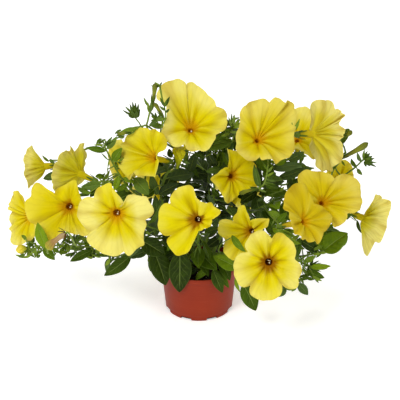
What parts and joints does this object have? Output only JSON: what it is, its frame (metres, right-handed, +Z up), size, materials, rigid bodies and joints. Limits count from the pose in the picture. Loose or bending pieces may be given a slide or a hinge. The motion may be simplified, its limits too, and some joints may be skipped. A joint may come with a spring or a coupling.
{
  "type": "potted petunia",
  "caption": "Potted petunia with branching leafy shoots and yellow ruffled trumpet flowers, in a small round tapered plastic nursery pot.",
  "frame": {"origin": "centre of the pot's flat underside, on the surface it stands on", "axes": "+Z up along the pot's axis; +X to the right seen from the front, along the plant's widest spread; +Y from the front to the back"},
  "size_m": [0.5, 0.2774, 0.3318],
  "materials": {
    "terracotta_plastic": "matte",
    "potting_soil": "matte",
    "petal_yellow": "matte",
    "petal_withered": "matte",
    "bud_yellow_green": "matte",
    "leaf_green": "satin",
    "leaf_bright_green": "satin",
    "leaf_grey_green": "matte",
    "shoot_green": "satin"
  },
  "bodies": {
    "root": {"bud_left_round": "bud_yellow_green", "bud_right_long": "bud_yellow_green", "bud_right_small": "bud_yellow_green", "bud_top": "bud_yellow_green", "bud_top_small": "bud_yellow_green", "corolla_back_left": "petal_yellow", "corolla_back_right": "petal_yellow", "corolla_back_top": "petal_yellow", "corolla_front_left": "petal_yellow", "corolla_front_low": "petal_yellow", "corolla_front_middle": "petal_yellow", "corolla_front_right": "petal_yellow", "corolla_left_back": "petal_yellow", "corolla_left_edge": "petal_yellow", "corolla_left_front": "petal_yellow", "corolla_left_side": "petal_yellow", "corolla_middle": "petal_yellow", "corolla_right": "petal_yellow", "corolla_right_behind": "petal_yellow", "corolla_right_edge": "petal_yellow", "corolla_right_front": "petal_yellow", "corolla_right_small": "petal_yellow", "corolla_right_turned": "petal_yellow", "corolla_top": "petal_yellow", "corolla_upper_left": "petal_yellow", "corolla_upper_left_behind": "petal_yellow", "corolla_upper_right": "petal_yellow", "flower_half_open": "bud_yellow_green", "flower_withered": "petal_withered", "leaf_bright_left": "leaf_bright_green", "leaf_bright_right": "leaf_bright_green", "leaf_centre": "leaf_green", "leaf_centre_left": "leaf_green", "leaf_centre_right": "leaf_green", "leaf_dark_left": "leaf_green", "leaf_dark_right": "leaf_green", "leaf_front_right": "leaf_green", "leaf_grey_right": "leaf_grey_green", "leaf_left_hanging": "leaf_green", "leaf_low_right": "leaf_green", "leaf_mid_right": "leaf_green", "leaf_pot_front": "leaf_green", "leaf_pot_left": "leaf_green", "leaf_pot_right": "leaf_green", "leaf_upper_left": "leaf_green", "leaf_upper_right": "leaf_green", "pot": "terracotta_plastic", "potting_soil": "potting_soil", "shoot_back": "shoot_green", "shoot_back_left": "shoot_green", "shoot_front": "shoot_green", "shoot_front_left": "shoot_green", "shoot_left_high": "shoot_green", "shoot_left_low": "shoot_green", "shoot_middle": "shoot_green", "shoot_right": "shoot_green", "shoot_right_high": "shoot_green", "shoot_right_inner": "shoot_green", "shoot_right_low": "shoot_green"}
  },
  "joints": []
}
